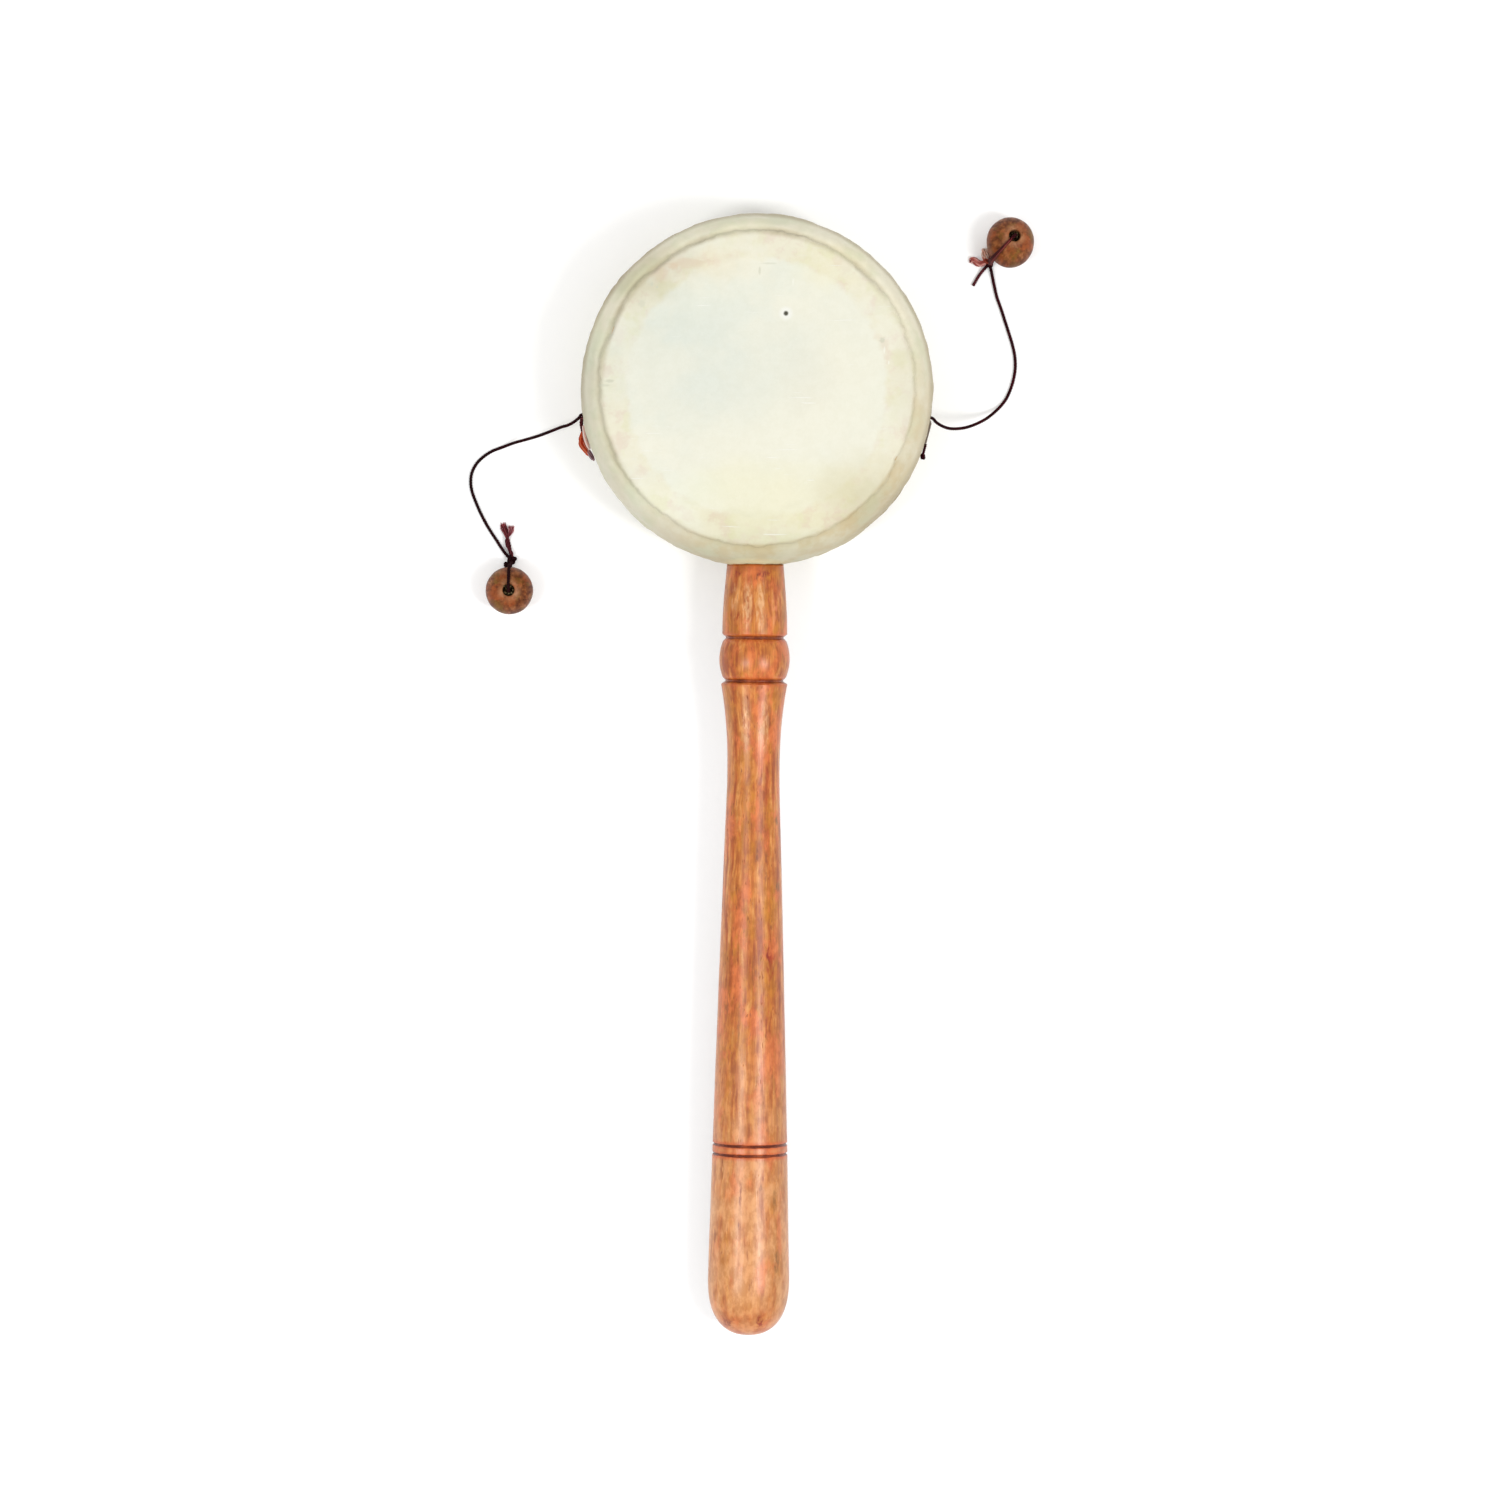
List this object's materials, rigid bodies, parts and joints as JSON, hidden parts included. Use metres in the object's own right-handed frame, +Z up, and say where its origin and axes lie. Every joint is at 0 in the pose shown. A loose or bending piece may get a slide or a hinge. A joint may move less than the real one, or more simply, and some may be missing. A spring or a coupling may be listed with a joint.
{
  "type": "temple hand drum",
  "caption": "Flat round hand drum with hide skins over a hollow wooden shell, a turned wooden handle, and wooden beads on cords that swing round to strike the skins.",
  "frame": {"origin": "on the floor, under the middle of the drum and handle, as they lie", "axes": "+Y from the butt of the handle to the drum, +Z up through the drum's faces, +X to the right seen from above"},
  "size_m": [0.154, 0.3055, 0.0388],
  "materials": {
    "skin": "thin dried hide, pale greenish cream, satin, warmer where it is glued to the rim",
    "shell_wood": "bare pale turned wood, matt",
    "handle_wood": "orange-brown turned hardwood, satin varnish, fine dark pores along the grain, burnt lines in its grooves",
    "bead_wood": "dull brown turned wood, thinly varnished",
    "cord": "thin laid cotton cord, dark maroon, redder where it frays"
  },
  "bodies": {
    "root": {"shell": "shell_wood", "head_upper": "skin", "head_lower": "skin", "handle": "handle_wood", "bead_left": "bead_wood", "bead_right": "bead_wood", "cord_left": "cord", "cord_right": "cord"}
  },
  "joints": []
}
